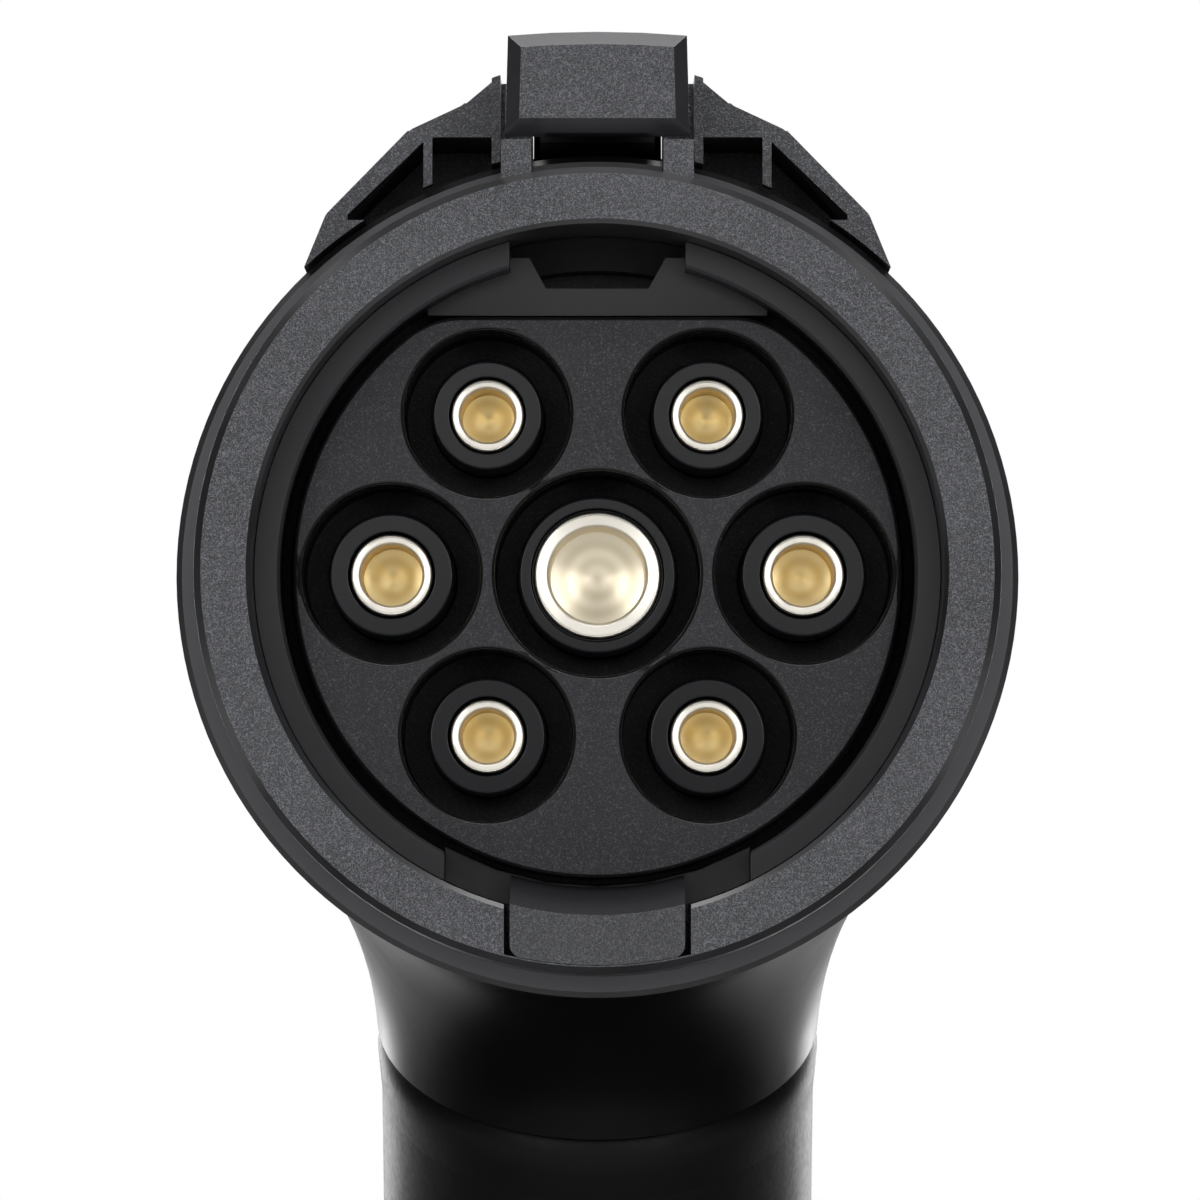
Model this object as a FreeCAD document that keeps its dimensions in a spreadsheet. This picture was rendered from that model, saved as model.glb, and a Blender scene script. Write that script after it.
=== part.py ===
import FreeCAD, Part
import math
import os
import Sketcher
from FreeCAD import Placement, Rotation, Vector

# Hand-held vehicle connector of a portable car charger.
# X points right, Y points from the mating face to the back, Z points up, sizes in millimetres.
# The origin is the centre of the earth contact's mouth.

os.makedirs("parts", exist_ok=True)
doc = FreeCAD.newDocument("charging_connector")
sheet = doc.addObject("Spreadsheet::Sheet", "sizes")

SIZES = {
    # round front shroud
    "face_plane": -12.0,
    "opening_radius": 26.75,
    "opening_break": 0.35,
    "ring_width": 4.65,
    "face_edge_width": 0.55,
    "face_edge_depth": 0.8,
    "barrel_taper": 0.25,
    "flange_front": 2.0,
    "flange_back": 7.5,
    "flange_lift": 1.65,
    "flange_break": 0.45,
    "back_wall_front": 4.0,
    "joint_plane": 8.0,
    "core_hole_radius": 24.1,
    "spigot_step": 3.75,
    "spigot_wall": 1.9,
    "spigot_back": 14.0,
    "groove_front": 10.0,
    "groove_back": 12.0,
    "groove_depth": 1.2,
    "rail_inner": 5.1,
    "rail_outer": 7.45,
    "rail_height": 1.9,
    # key at the bottom of the shroud
    "slot_half_width": 7.2,
    "slot_floor": 30.5,
    "slot_back": -0.6,
    "key_half_width": 6.75,
    "key_top_front": 26.6,
    "key_top_back": 24.4,
    "key_corner": 1.0,
    "key_flat": 1.6,
    "key_half_height": 10.0,
    # guide sleeve with its upper shelf and lower web
    "sleeve_inner_radius": 24.7,
    "sleeve_front": -5.0,
    "sleeve_back": 3.2,
    "sleeve_break": 0.25,
    "sleeve_top_gap": 6.85,
    "sleeve_low_gap": 11.9,
    "web_front": -0.3,
    "web_radius": 24.35,
    "shelf_front": 0.0,
    "shelf_bottom": 20.35,
    "shelf_top": 24.9,
    "shelf_half_width": 13.3,
    "notch_floor": 22.5,
    "notch_low_half": 4.0,
    "notch_top_half": 5.3,
    # contact core
    "core_front": -4.0,
    "core_radius": 23.7,
    "core_flat": 20.0,
    "core_corner": 7.0,
    "core_break": 0.22,
    "core_back": 10.5,
    "well_floor": 9.0,
    # insulating towers and contacts
    "tower_tip": -0.5,
    "tower_seat": 0.8,
    "tower_flange_back": 12.0,
    "tower_flange_width": 0.8,
    "contact_flange_back": 14.0,
    "contact_flange_width": 0.8,
    "contact_bore_depth": 8.0,
    "contact_mouth_depth": 0.35,
    "contact_back": 26.0,
    "contact_cup_depth": 8.0,
    "contact_cup_wall": 0.7,
    "drill_cone": 0.5,
    "side_pitch": 16.1,
    "row_pitch": 8.6,
    "upper_row": 12.5,
    "lower_row": 12.6,
    "earth_well": 8.0,
    "earth_tower": 6.25,
    "earth_seat": 5.2,
    "earth_body": 4.9,
    "earth_mouth": 3.95,
    "earth_bore": 3.75,
    "earth_stem": 3.2,
    "side_well": 6.95,
    "side_tower": 4.95,
    "side_seat": 3.4,
    "side_body": 3.15,
    "side_mouth": 2.55,
    "side_bore": 2.4,
    "side_stem": 2.5,
    "signal_well": 6.5,
    "signal_tower": 4.4,
    "signal_seat": 3.0,
    "signal_body": 2.8,
    "signal_mouth": 2.25,
    "signal_bore": 2.1,
    "signal_stem": 2.0,
    "lower_well": 6.7,
    "lower_tower": 4.65,
    "lower_seat": 3.1,
    "lower_body": 2.85,
    "lower_mouth": 2.25,
    "lower_bore": 2.1,
    "lower_stem": 2.2,
    # rear plate with the switch bracket
    "plate_rim_inner": 23.5,
    "plate_back": 17.0,
    "plate_screw_inset": 2.15,
    "plate_screw_radius": 1.0,
    "plate_head_radius": 1.85,
    "plate_head_height": 1.5,
    "plate_screw_tip": 4.8,
    "bracket_half_width": 5.5,
    "bracket_sheet": 1.8,
    "bracket_top": 15.0,
    "bracket_bend": 29.4,
    "bracket_floor": 3.5,
    "bracket_end": 40.0,
    "bracket_rib_inner": 4.1,
    "bracket_rib_foot": 6.0,
    # running and assembly clearances
    "fit_gap": 0.05,
    "slip_gap": 0.15,
    "seam_gap": 0.3,
    # elbow of the housing, sections swung about one centre
    "swing_back": 8.0,
    "swing_down": -56.7,
    "swing_end": 60.0,
    "elbow_inside": 24.0,
    "elbow_out_b": 87.0,
    "elbow_out_c": 81.0,
    "elbow_out_d": 72.0,
    "elbow_out_e": 63.0,
    "elbow_half_b": 30.0,
    "elbow_half_c": 25.5,
    "elbow_half_d": 20.8,
    "elbow_half_e": 18.2,
    "wall": 2.5,
    "lip_height": 3.05,
    "lip_front": 10.2,
    "lip_back": 11.8,
    # straight handle, sections stepped along its axis
    "grip_start": 0.5,
    "grip_lip": 2.2,
    "grip_shoulder": 6.0,
    "grip_middle": 38.0,
    "grip_end": 75.0,
    "grip_wall": 2.3,
    "grip_half_start": 17.5,
    "grip_half_lip": 18.2,
    "grip_half_shoulder": 17.9,
    "grip_half_middle": 17.9,
    "grip_half_end": 18.1,
    "grip_depth_start": 18.8,
    "grip_depth_lip": 19.6,
    "grip_depth_shoulder": 19.2,
    "grip_depth_middle": 18.3,
    "grip_depth_end": 19.4,
    "tail_start": 75.4,
    "tail_middle": 88.0,
    "tail_end": 100.0,
    "tail_half_start": 18.1,
    "tail_half_middle": 17.6,
    "tail_half_end": 15.6,
    "tail_depth_start": 19.4,
    "tail_depth_middle": 18.9,
    "tail_depth_end": 16.6,
    "tail_wall_start": 92.5,
    "gland_hole_radius": 9.2,
    # housing screws
    "housing_screw_radius": 1.5,
    "housing_head_radius": 2.8,
    "housing_head_height": 2.0,
    "housing_boss_radius": 3.6,
    "elbow_screw_swing": 32.0,
    "elbow_screw_side": 17.0,
    "elbow_screw_head": 68.0,
    "elbow_screw_tip": 42.0,
    "elbow_boss_foot": 34.0,
    "tail_screw_at": 96.2,
    "tail_screw_side": 11.9,
    "tail_screw_head": 5.5,
    "tail_screw_tip": 6.5,
    # cable clamp and gland
    "cable_radius": 6.5,
    "clamp_at": 79.0,
    "clamp_length": 9.0,
    "clamp_half_width": 11.4,
    "clamp_bar": 2.8,
    "clamp_screw_side": 8.8,
    "clamp_screw_radius": 1.25,
    "clamp_head_radius": 2.0,
    "clamp_head_height": 1.5,
    "clamp_screw_depth": 8.0,
    "saddle_depth": 16.2,
    "saddle_half_floor": 7.0,
    "saddle_shoulder": 11.9,
    "gland_body_radius": 9.0,
    "gland_collar_radius": 11.0,
    "gland_collar_front": 89.0,
    "gland_thread_end": 109.0,
    "nut_start": 100.4,
    "nut_end": 114.0,
    "nut_radius": 12.6,
    "nut_nose_radius": 10.0,
    "nut_rib_radius": 1.0,
    "seal_start": 99.0,
    "seal_end": 112.0,
    "seal_radius": 7.7,
    # latch lever, its pin, spring and guard
    "pivot_back": 20.0,
    "pivot_up": 33.0,
    "pin_radius": 1.25,
    "pin_half_length": 8.1,
    "lever_half_width": 4.5,
    "hook_half_low": 7.15,
    "hook_half_top": 6.95,
    "hook_front": -9.0,
    "hook_back": -1.5,
    "hook_bottom": 34.05,
    "hook_top": 41.9,
    "hook_arch": 0.3,
    "hook_catch": 36.4,
    "hook_bevel": 1.05,
    "nose_back": -4.2,
    "hook_break": 0.8,
    "arm_top": 39.5,
    "arm_step_front": 5.4,
    "arm_step_back": 7.4,
    "arm_rise": 4.2,
    "arm_underside": 34.1,
    "hub_rise": 2.9,
    "hub_radius": 3.4,
    "hub_half": 5.1,
    "hub_front": 4.5,
    "hub_back": 3.6,
    "knee_back": 27.0,
    "knee_up": 25.4,
    "shank_front": 20.9,
    "flat_front": 22.8,
    "flat_back": 26.9,
    "heel_back": 28.5,
    "heel_up": 18.9,
    "shin_back": 32.8,
    "shin_up": 15.5,
    "toe_front": 33.1,
    "toe_back": 39.0,
    "pad_half": 0.8,
    "pad_gap": 0.12,
    "pad_relief": 1.75,
    "spring_back": 36.0,
    "spring_coil_radius": 2.2,
    "spring_wire_radius": 0.3,
    "spring_turns": 5.0,
    "foot_bottom": 11.6,
    "guard_front": 0.5,
    "guard_back": 34.0,
    "guard_top": 39.3,
    "guard_channel_half": 7.6,
    "guard_cheek_outer": 8.3,
    "guard_inner_half": 5.2,
    "guard_channel_back": 8.5,
    "guard_roof": 37.6,
    "guard_window_back": 16.0,
    "guard_rib_inner": 12.95,
    "guard_rib_outer": 13.65,
    "guard_rib_back": 3.0,
    "guard_shoulder_side": 8.2,
    "guard_shoulder_up": 39.1,
    "guard_waist_side": 10.7,
    "guard_waist_up": 37.0,
    "guard_eave_side": 14.65,
    "guard_eave_up": 35.15,
    "guard_hip_side": 21.3,
    "guard_hip_up": 28.35,
    "guard_end_side": 23.0,
    "guard_end_up": 24.2,
    "guard_inside_side": 21.0,
    "guard_inside_up": 20.0,
    "guard_corner": 1.2,
    "guard_crest_back": 17.0,
    "guard_round": 15.0,
    "guard_flank_side": 24.0,
    "guard_flank_back": 9.0,
    "guard_turn_side": 18.6,
    "guard_turn_back": 22.3,
    "guard_close_side": 8.5,
    "guard_close_back": 33.0,
    "window_low_side": 19.6,
    "window_low_up": 28.3,
    "window_high_side": 13.7,
    "window_high_up": 34.0,
    "window_top": 34.4,
    "window_floor": 27.9,
    "guard_step_low": 34.9,
    "guard_step_high": 37.2,
    "guard_step_depth": 1.5,
    "guard_screw_back": 24.6,
    "guard_screw_side": 10.8,
    "guard_screw_seat": 23.4,
    "guard_screw_reach": 7.6,
    "lever_slot_front": 15.5,
    "lever_slot_back": 30.5,
    # release button
    "button_tilt": 38.0,
    "button_back": 41.0,
    "button_up": 20.4,
    "button_half_width": 6.7,
    "button_half_length": 8.3,
    "button_top": 3.5,
    "button_bottom": -5.0,
    "button_tab_top": -3.6,
    "button_tab_half": 4.5,
    "button_tab_reach": 9.3,
    "button_corner": 3.0,
    "button_rim": 1.1,
    "button_ridge": 0.5,
    "button_ridge_half": 0.45,
    "button_ridge_pitch": 2.4,
    "button_ridge_inset": 1.6,
    # switch and small board
    "switch_front": 17.4,
    "switch_back": 25.6,
    "switch_half_width": 2.9,
    "switch_top": 20.6,
    "plunger_back": 24.2,
    "plunger_radius": 0.9,
    "plunger_top": 22.2,
    "plunger_foot": 18.6,
    "board_top": 12.2,
    "board_sheet": 1.2,
    "board_front": 18.2,
    "board_back": 27.0,
    "board_half_width": 3.9,
    "chip_height": 0.8,
    "chip_front": 20.0,
    "chip_length": 3.6,
    "chip_half_width": 1.0,
    "chip_side": 1.7,
}
BARREL = "(opening_radius + ring_width)"
FLANGE = "(opening_radius + ring_width + flange_lift)"
SPIGOT = "(opening_radius + ring_width + flange_lift - spigot_step)"
SPIGOT_INSIDE = "(opening_radius + ring_width + flange_lift - spigot_step - spigot_wall)"
GROOVE = "(opening_radius + ring_width + flange_lift - spigot_step - groove_depth)"
for row, (alias, value) in enumerate(SIZES.items(), start=1):
    sheet.set("A%d" % row, alias)
    sheet.set("B%d" % row, str(value))
    sheet.setAlias("B%d" % row, alias)
doc.recompute()


def cell(text):
    """Turn an expression of plain names into one that reads the sheet."""
    out = []
    word = ""
    for char in text + " ":
        if char.isalnum() or char in "._":
            word += char
            continue
        out.append("sizes." + word if word in SIZES else word)
        out.append(char)
        word = ""
    return "".join(out).strip()


def new_body(label):
    body = doc.addObject("PartDesign::Body", label)
    body.Label = label
    return body


def place(item, x="0", y="0", z="0"):
    item.setExpression(".Placement.Base.x", cell(x))
    item.setExpression(".Placement.Base.y", cell(y))
    item.setExpression(".Placement.Base.z", cell(z))


def plane_of(body, role):
    return next(item for item in body.Origin.OriginFeatures if item.Role == role)


def new_sketch(body, role, offset="0"):
    sketch = body.newObject("Sketcher::SketchObject", "outline")
    sketch.AttachmentSupport = (plane_of(body, role), [""])
    sketch.MapMode = "FlatFace"
    if offset != "0":
        sketch.setExpression(".AttachmentOffset.Base.z", cell(offset))
    return sketch


def bind(sketch, kind, values, expression):
    number = sketch.addConstraint(Sketcher.Constraint(kind, *values, 1.0))
    sketch.setExpression("Constraints[%d]" % number, cell(expression))


def polygon(sketch, points):
    """A closed outline with each corner held by two driven distances."""
    start = sketch.GeometryCount
    count = len(points)
    ring = [Vector(math.cos(2 * math.pi * i / count), math.sin(2 * math.pi * i / count), 0) for i in range(count)]
    for i in range(count):
        sketch.addGeometry(Part.LineSegment(ring[i], ring[(i + 1) % count]))
    for i in range(count):
        sketch.addConstraint(Sketcher.Constraint("Coincident", start + i, 2, start + (i + 1) % count, 1))
    for i, (across, along) in enumerate(points):
        bind(sketch, "DistanceX", (-1, 1, start + i, 1), across)
        bind(sketch, "DistanceY", (-1, 1, start + i, 1), along)


def circle(sketch, across, along, radius):
    number = sketch.addGeometry(Part.Circle(Vector(1, 1, 0), Vector(0, 0, 1), 1))
    bind(sketch, "DistanceX", (-1, 1, number, 3), across)
    bind(sketch, "DistanceY", (-1, 1, number, 3), along)
    bind(sketch, "Radius", (number,), radius)


def pad(body, sketch, length):
    item = body.newObject("PartDesign::Pad", "pad")
    item.Profile = sketch
    item.setExpression("Length", cell(length))
    return item


def pocket(body, sketch, length):
    item = body.newObject("PartDesign::Pocket", "pocket")
    item.Profile = sketch
    item.setExpression("Length", cell(length))
    return item


def turned(body, points):
    """Revolve a half outline, given as distance along Y and radius, about Y."""
    sketch = new_sketch(body, "YZ_Plane")
    polygon(sketch, points)
    item = body.newObject("PartDesign::Revolution", "turned")
    item.Profile = sketch
    item.ReferenceAxis = (sketch, ["H_Axis"])
    item.Angle = 360
    return item


def face_pad(body, front, back, outlines=(), circles=()):
    """Material between two planes of Y, drawn as seen from the front."""
    sketch = new_sketch(body, "XZ_Plane", "-(%s)" % back)
    for points in outlines:
        polygon(sketch, points)
    for values in circles:
        circle(sketch, *values)
    return pad(body, sketch, "(%s) - (%s)" % (back, front))


def face_cut(body, front, back, outlines=(), circles=()):
    """A cut between two planes of Y, drawn as seen from the front."""
    sketch = new_sketch(body, "XZ_Plane", "-(%s)" % front)
    for points in outlines:
        polygon(sketch, points)
    for values in circles:
        circle(sketch, *values)
    return pocket(body, sketch, "(%s) - (%s)" % (back, front))


def side_pad(body, half, points):
    """Material across X from -half to half, drawn as seen from the side."""
    sketch = new_sketch(body, "YZ_Plane", "-(%s)" % half)
    polygon(sketch, points)
    return pad(body, sketch, "2 * (%s)" % half)


def side_cut(body, half, points):
    sketch = new_sketch(body, "YZ_Plane", half)
    polygon(sketch, points)
    return pocket(body, sketch, "2 * (%s)" % half)


def plan_pad(body, low, high, outlines=(), circles=()):
    """Material between two heights of Z, drawn as seen from above."""
    sketch = new_sketch(body, "XY_Plane", low)
    for points in outlines:
        polygon(sketch, points)
    for values in circles:
        circle(sketch, *values)
    return pad(body, sketch, "(%s) - (%s)" % (high, low))


def plan_cut(body, low, high, outlines=(), circles=()):
    sketch = new_sketch(body, "XY_Plane", high)
    for points in outlines:
        polygon(sketch, points)
    for values in circles:
        circle(sketch, *values)
    return pocket(body, sketch, "(%s) - (%s)" % (high, low))


def box_points(left, bottom, right, top):
    return [(left, bottom), (right, bottom), (right, top), (left, top)]


def arc_points(radius, half):
    """Seven points of the lower arc of a circle about the origin, from -half to half across."""
    out = []
    for step in range(-3, 4):
        across = "(%s) * %s" % (half, step / 3)
        out.append((across, "-sqrt((%s) ^ 2 - (%s) ^ 2)" % (radius, across)))
    return out


def mirrored(points):
    """Complete a right-hand outline, listed from top to bottom, with its left half."""
    return points + [("-(%s)" % across, along) for across, along in reversed(points)]


def chosen_edges(item, test):
    doc.recompute()
    names = []
    for number, edge in enumerate(item.Shape.Edges, start=1):
        if test(edge):
            names.append("Edge%d" % number)
    return names


def dress(body, kind, base, test, size):
    names = chosen_edges(base, test)
    item = body.newObject("PartDesign::" + kind, kind.lower())
    item.Base = (base, names)
    item.setExpression("Radius" if kind == "Fillet" else "Size", cell(size))
    return item


def at_front(edge, plane):
    return all(abs(vertex.Point.y - plane) < 0.001 for vertex in edge.Vertexes)


# front shroud: face ring, barrel, flange and rear spigot in one moulding
shroud = new_body("front_shroud")
turned(shroud, [
    ("face_plane", "opening_radius + opening_break"),
    ("face_plane", BARREL + " - barrel_taper - face_edge_width"),
    ("face_plane + face_edge_depth", BARREL + " - barrel_taper"),
    ("flange_front", BARREL),
    ("flange_front", FLANGE + " - flange_break"),
    ("flange_front + flange_break", FLANGE),
    ("flange_back - flange_break", FLANGE),
    ("flange_back", FLANGE + " - flange_break"),
    ("flange_back", SPIGOT),
    ("groove_front", SPIGOT),
    ("groove_front", GROOVE),
    ("groove_back", GROOVE),
    ("groove_back", SPIGOT),
    ("spigot_back", SPIGOT),
    ("spigot_back", SPIGOT_INSIDE),
    ("joint_plane", SPIGOT_INSIDE),
    ("joint_plane", "core_hole_radius"),
    ("back_wall_front", "core_hole_radius"),
    ("back_wall_front", "opening_radius"),
    ("face_plane + opening_break", "opening_radius"),
])
for side in ("", "-"):
    face_pad(shroud, "face_plane + face_edge_depth", "flange_back", outlines=[
        box_points(side + "rail_inner", BARREL + " - rail_height", side + "rail_outer", BARREL + " + rail_height"),
    ])
face_cut(shroud, "face_plane", "slot_back", outlines=[
    arc_points("slot_floor", "slot_half_width")
    + [("slot_half_width", "-sleeve_inner_radius + 1"), ("-slot_half_width", "-sleeve_inner_radius + 1")],
])
screw_spots = []
for across in ("", "-"):
    for upward in ("", "-"):
        spot = "%s(" + SPIGOT_INSIDE + " - plate_screw_inset) * sqrt(0.5)"
        screw_spots.append((spot % across, spot % upward))
back_holes = new_sketch(shroud, "XZ_Plane", "-joint_plane")
for across, upward in screw_spots:
    circle(back_holes, across, upward, "plate_screw_radius + fit_gap")
hole = pocket(shroud, back_holes, "joint_plane - plate_screw_tip + seam_gap")
hole.Reversed = True

# key block let into the slot at the bottom of the face, curved like the ring around it
key = new_body("key_block")
turned(key, [
    ("face_plane", "key_top_front"),
    ("face_plane", "slot_floor - fit_gap"),
    ("slot_back - slip_gap", "slot_floor - fit_gap"),
    ("slot_back - slip_gap", "key_top_back"),
    ("slot_back - slip_gap - key_flat", "key_top_back"),
])
face_cut(key, "face_plane", "slot_back", outlines=[
    box_points("-slot_floor", "-key_top_back + key_half_height", "slot_floor", "slot_floor")])
for side in ("", "-"):
    face_cut(key, "face_plane", "slot_back", outlines=[
        box_points(side + "key_half_width", "-slot_floor", side + "slot_floor", "0")])
dress(key, "Fillet", key.Tip, lambda edge: edge.BoundBox.YLength > 10 and edge.BoundBox.XLength < 0.01
      and edge.BoundBox.ZMax < -29.0, "key_corner")

# guide sleeve: broken ring with the upper shelf and lower web
sleeve = new_body("guide_sleeve")
turned(sleeve, [
    ("sleeve_front", "sleeve_inner_radius + sleeve_break"),
    ("sleeve_front", "opening_radius - fit_gap"),
    ("sleeve_back", "opening_radius - fit_gap"),
    ("sleeve_back", "sleeve_inner_radius"),
    ("sleeve_front + sleeve_break", "sleeve_inner_radius"),
])
face_cut(sleeve, "sleeve_front", "sleeve_back", outlines=[
    box_points("-sleeve_top_gap", "0", "sleeve_top_gap", "opening_radius"),
])
face_cut(sleeve, "sleeve_front", "web_front", outlines=[
    box_points("-sleeve_low_gap", "-opening_radius", "sleeve_low_gap", "0"),
])
face_pad(sleeve, "web_front", "sleeve_back", outlines=[
    arc_points("(sleeve_inner_radius + opening_radius) / 2", "sleeve_low_gap")
    + list(reversed(arc_points("web_radius", "sleeve_low_gap")))])
face_pad(sleeve, "shelf_front", "sleeve_back", outlines=[mirrored([
    ("notch_low_half", "notch_floor"),
    ("notch_top_half", "shelf_top"),
    ("shelf_half_width * 0.6", "shelf_top"),
    ("shelf_half_width * 0.83", "shelf_top - 0.95"),
    ("shelf_half_width", "shelf_bottom + 0.9"),
    ("shelf_half_width", "shelf_bottom"),
])])

seal = new_body("face_seal")
turned(seal, [
    ("sleeve_back + fit_gap", "core_hole_radius"),
    ("sleeve_back + fit_gap", "opening_radius - fit_gap"),
    ("back_wall_front", "opening_radius - fit_gap"),
    ("back_wall_front", "core_hole_radius"),
])

FAMILIES = {
    "earth": ("earth", "0", "0"),
    "line_one": ("side", "-side_pitch", "0"),
    "neutral": ("side", "side_pitch", "0"),
    "pilot": ("signal", "-row_pitch", "upper_row"),
    "proximity": ("signal", "row_pitch", "upper_row"),
    "line_two": ("lower", "-row_pitch", "-lower_row"),
    "line_three": ("lower", "row_pitch", "-lower_row"),
}

# contact core: D-shaped block with seven wells
core = new_body("contact_core")
face_pad(core, "core_front", "joint_plane", circles=[("0", "0", "core_radius")])
flat = face_cut(core, "core_front", "joint_plane", outlines=[
    box_points("-core_radius", "core_flat", "core_radius", "core_radius + 1"),
])
dress(core, "Fillet", flat, lambda edge: abs(edge.BoundBox.YLength - 12.0) < 0.01
      and edge.BoundBox.ZLength < 0.01 and abs(edge.BoundBox.ZMax - SIZES["core_flat"]) < 0.01, "core_corner")
face_pad(core, "joint_plane", "core_back", circles=[("0", "0", SPIGOT_INSIDE + " - slip_gap")])
wells = face_cut(core, "core_front", "well_floor", circles=[
    (x, z, family + "_well") for family, x, z in FAMILIES.values()])
face_cut(core, "well_floor", "core_back", circles=[
    (x, z, family + "_tower + fit_gap") for family, x, z in FAMILIES.values()])
face_cut(core, "joint_plane", "core_back", circles=[
    (across, upward, "plate_screw_radius + fit_gap") for across, upward in screw_spots])
dress(core, "Chamfer", core.Tip, lambda edge: at_front(edge, SIZES["core_front"]), "core_break")

for name, (family, x, z) in FAMILIES.items():
    tower = new_body(name + "_tower")
    place(tower, x=x, z=z)
    turned(tower, [
        ("tower_tip", family + "_seat"),
        ("tower_tip", family + "_tower - core_break"),
        ("tower_tip + core_break", family + "_tower"),
        ("core_back", family + "_tower"),
        ("core_back", family + "_tower + tower_flange_width"),
        ("tower_flange_back", family + "_tower + tower_flange_width"),
        ("tower_flange_back", family + "_body + fit_gap"),
        ("tower_seat", family + "_body + fit_gap"),
        ("tower_seat", family + "_seat"),
    ])
    contact = new_body(name + "_contact")
    place(contact, x=x, z=z)
    turned(contact, [
        ("-contact_mouth_depth", family + "_mouth"),
        ("-contact_mouth_depth", family + "_body - slip_gap"),
        ("slip_gap - contact_mouth_depth", family + "_body"),
        ("tower_flange_back", family + "_body"),
        ("tower_flange_back", family + "_body + contact_flange_width"),
        ("contact_flange_back", family + "_body + contact_flange_width"),
        ("contact_flange_back", family + "_stem"),
        ("contact_back", family + "_stem"),
        ("contact_back", family + "_stem - contact_cup_wall"),
        ("contact_back - contact_cup_depth", family + "_stem - contact_cup_wall"),
        ("contact_back - contact_cup_depth - drill_cone", "0"),
        ("contact_bore_depth + drill_cone", "0"),
        ("contact_bore_depth", family + "_bore"),
        ("0", family + "_bore"),
    ])

# rear plate: holds the contacts in the core and carries the switch bracket
plate = new_body("contact_plate")
face_pad(plate, "contact_flange_back", "plate_back", circles=[("0", "0", SPIGOT_INSIDE + " - 2 * slip_gap")])
turned(plate, [
    ("core_back", "plate_rim_inner"),
    ("core_back", SPIGOT_INSIDE + " - 2 * slip_gap"),
    ("contact_flange_back", SPIGOT_INSIDE + " - 2 * slip_gap"),
    ("contact_flange_back", "plate_rim_inner"),
])
face_cut(plate, "contact_flange_back", "plate_back", circles=[
    (x, z, family + "_stem + slip_gap") for family, x, z in FAMILIES.values()])
face_cut(plate, "core_back", "plate_back", circles=[
    (across, upward, "plate_screw_radius + fit_gap") for across, upward in screw_spots])
side_pad(plate, "bracket_half_width", [
    ("plate_back", "bracket_top - bracket_sheet"),
    ("plate_back", "bracket_top"),
    ("bracket_bend", "bracket_top"),
    ("bracket_bend", "bracket_floor"),
    ("bracket_end", "bracket_floor"),
    ("bracket_end", "bracket_floor - bracket_sheet"),
    ("bracket_bend - bracket_sheet", "bracket_floor - bracket_sheet"),
    ("bracket_bend - bracket_sheet", "bracket_top - bracket_sheet"),
])
for side in ("", "-"):
    plan_pad(plate, "bracket_rib_foot", "bracket_top - bracket_sheet", outlines=[
        box_points(side + "bracket_rib_inner", "plate_back", side + "bracket_half_width",
                   "bracket_bend - bracket_sheet")])


def driver_slot(across, along, head_radius):
    """The outline of a straight driver slot across a screw's head."""
    return box_points("(%s) - %s * 0.75" % (across, head_radius), "(%s) - 0.3" % along,
                      "(%s) + %s * 0.75" % (across, head_radius), "(%s) + 0.3" % along)


def screw_body(label, spots, radius, head_radius, head_height, tip, head_plane):
    """Pan-head screws along Y, head at the back, as one body of separate screws."""
    body = new_body(label)
    body.AllowCompound = True
    face_pad(body, tip, head_plane, circles=[(across, upward, radius) for across, upward in spots])
    face_pad(body, head_plane, head_plane + " + " + head_height,
             circles=[(across, upward, head_radius) for across, upward in spots])
    face_cut(body, head_plane + " + " + head_height + " * 0.45", head_plane + " + " + head_height + " + 1",
             outlines=[driver_slot(across, upward, head_radius) for across, upward in spots])
    return body


screw_body("plate_screws", screw_spots, "plate_screw_radius", "plate_head_radius", "plate_head_height",
           "plate_screw_tip", "plate_back")

gasket = new_body("housing_gasket")
turned(gasket, [
    ("flange_back", SPIGOT + " + fit_gap"),
    ("flange_back", FLANGE + " - 2 * flange_break"),
    ("joint_plane", FLANGE + " - 2 * flange_break"),
    ("joint_plane", SPIGOT + " + fit_gap"),
])


# lofted housing: ellipses whose long radius lies in the plane of the swing
def ellipse(swing, distance, along, depth, half):
    item = doc.addObject("Part::Ellipse", "section")
    item.setExpression("MajorRadius", cell(depth))
    item.setExpression("MinorRadius", cell(half))
    across = "swing_back + (%s) * sin(%s) + (%s) * cos(%s)" % (distance, swing, along, swing)
    upward = "swing_down + (%s) * cos(%s) - (%s) * sin(%s)" % (distance, swing, along, swing)
    turn = "rotation(vector(1; 0; 0); -(%s)) * rotation(vector(1; 1; 1); -120)" % swing
    item.setExpression("Placement", cell("placement(vector(0; %s; %s); %s)" % (across, upward, turn)))
    return item


def loft(label, sections):
    item = doc.addObject("Part::Loft", label)
    item.Sections = sections
    item.Solid = True
    return item


# each station of the elbow: distance of its middle from the swing centre, depth and half width
ELBOW = [("(-swing_down)", FLANGE + " + fit_gap", FLANGE + " + 0.8 * fit_gap")]
for letter in "bcde":
    ELBOW.append(("(elbow_inside + elbow_out_%s) / 2" % letter, "(elbow_out_%s - elbow_inside) / 2" % letter,
                  "elbow_half_%s" % letter))
MIDDLE = ELBOW[-1][0]


def elbow(label, grow, last_grow):
    """The swung part of the housing, every radius changed alike but for the last section."""
    sections = []
    for number, (middle, depth, half) in enumerate(ELBOW):
        change = last_grow if number == 4 else grow
        sections.append(ellipse("(swing_end * %s)" % (number / 4), middle, "0",
                                "%s + (%s)" % (depth, change), "%s + (%s)" % (half, change)))
    return loft(label, sections)


def straight(label, stations, grow):
    """A straight part of the handle through stations of distance, depth and half width."""
    sections = [ellipse("(swing_end * 1)", MIDDLE, at, "%s + (%s)" % (depth, grow), "%s + (%s)" % (half, grow))
                for at, depth, half in stations]
    return loft(label, sections)


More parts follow.
